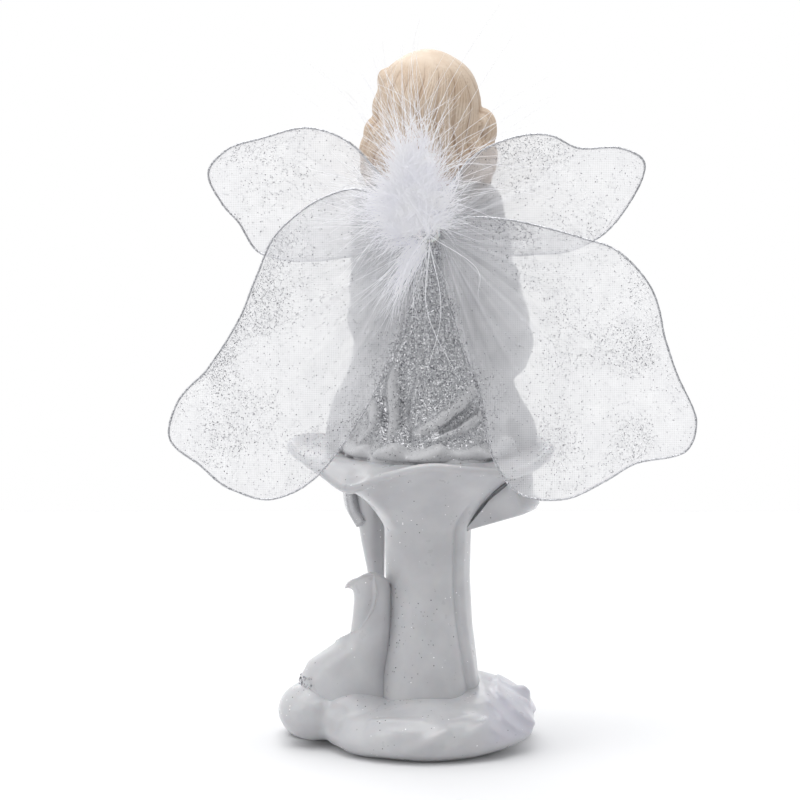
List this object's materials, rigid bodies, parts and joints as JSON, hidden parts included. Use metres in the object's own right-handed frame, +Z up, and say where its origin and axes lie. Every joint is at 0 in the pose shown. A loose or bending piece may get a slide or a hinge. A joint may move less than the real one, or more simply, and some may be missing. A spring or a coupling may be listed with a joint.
{
  "type": "winged angel figurine",
  "caption": "Seated girl angel in a glittered dress on a calla lily with a cloud base, with gauze wings in bent wire frames and a down feather tuft.",
  "frame": {"origin": "on the flat underside of the cloud base, on the axis of the lily stem", "axes": "+Z up, the figure faces -Y, her left side is +X"},
  "size_m": [0.1453, 0.0748, 0.1975],
  "materials": {
    "pearl_resin": "white cast resin with a pearl gloss, a few glitter specks",
    "glitter_dress": "cast resin coated all over in fine silver glitter",
    "painted_skin": "satin paint on cast resin",
    "painted_hair": "satin straw-beige paint with a darker wash in the strand grooves",
    "clear_glue": "clear set glue",
    "silver_wire": "thin silver wire",
    "wing_gauze": "sheer white organza with scattered silver glitter",
    "down_feather": "fluffy white marabou down"
  },
  "bodies": {
    "figurine": {"cloud_base": "pearl_resin", "lily_stem": "pearl_resin", "lily_flower": "pearl_resin", "lily_under_petal": "pearl_resin", "small_lily": "pearl_resin", "skirt": "glitter_dress", "skirt_front": "glitter_dress", "bodice": "glitter_dress", "left_sleeve": "glitter_dress", "right_sleeve": "glitter_dress", "head": "painted_skin", "left_hand": "painted_skin", "right_hand": "painted_skin", "left_leg": "pearl_resin", "right_leg": "pearl_resin", "hair": "painted_hair", "left_hair_lock": "painted_hair", "right_hair_lock": "painted_hair", "wing_collar": "clear_glue", "wing_binding": "silver_wire", "feather_tuft_up": "down_feather", "feather_tuft_down": "down_feather"},
    "upper_left_wing": {"upper_left_wing_frame": "silver_wire", "upper_left_wing_gauze": "wing_gauze"},
    "upper_right_wing": {"upper_right_wing_frame": "silver_wire", "upper_right_wing_gauze": "wing_gauze"},
    "lower_left_wing": {"lower_left_wing_frame": "silver_wire", "lower_left_wing_gauze": "wing_gauze"},
    "lower_right_wing": {"lower_right_wing_frame": "silver_wire", "lower_right_wing_gauze": "wing_gauze"}
  },
  "joints": [
    {"name": "upper_left_wing_bend", "type": "hinge", "parent": "figurine", "child": "upper_left_wing", "pos_m": [0.00305, 0.0149, 0.1488], "axis": [0, 0, 1], "range_deg": [-15, 5]},
    {"name": "upper_right_wing_bend", "type": "hinge", "parent": "figurine", "child": "upper_right_wing", "pos_m": [-0.00305, 0.0149, 0.1488], "axis": [0, 0, -1], "range_deg": [-15, 5]},
    {"name": "lower_left_wing_bend", "type": "hinge", "parent": "figurine", "child": "lower_left_wing", "pos_m": [0.00305, 0.0189, 0.1472], "axis": [0, 0, 1], "range_deg": [-5, 35]},
    {"name": "lower_right_wing_bend", "type": "hinge", "parent": "figurine", "child": "lower_right_wing", "pos_m": [-0.00305, 0.0189, 0.1472], "axis": [0, 0, -1], "range_deg": [-5, 35]}
  ]
}
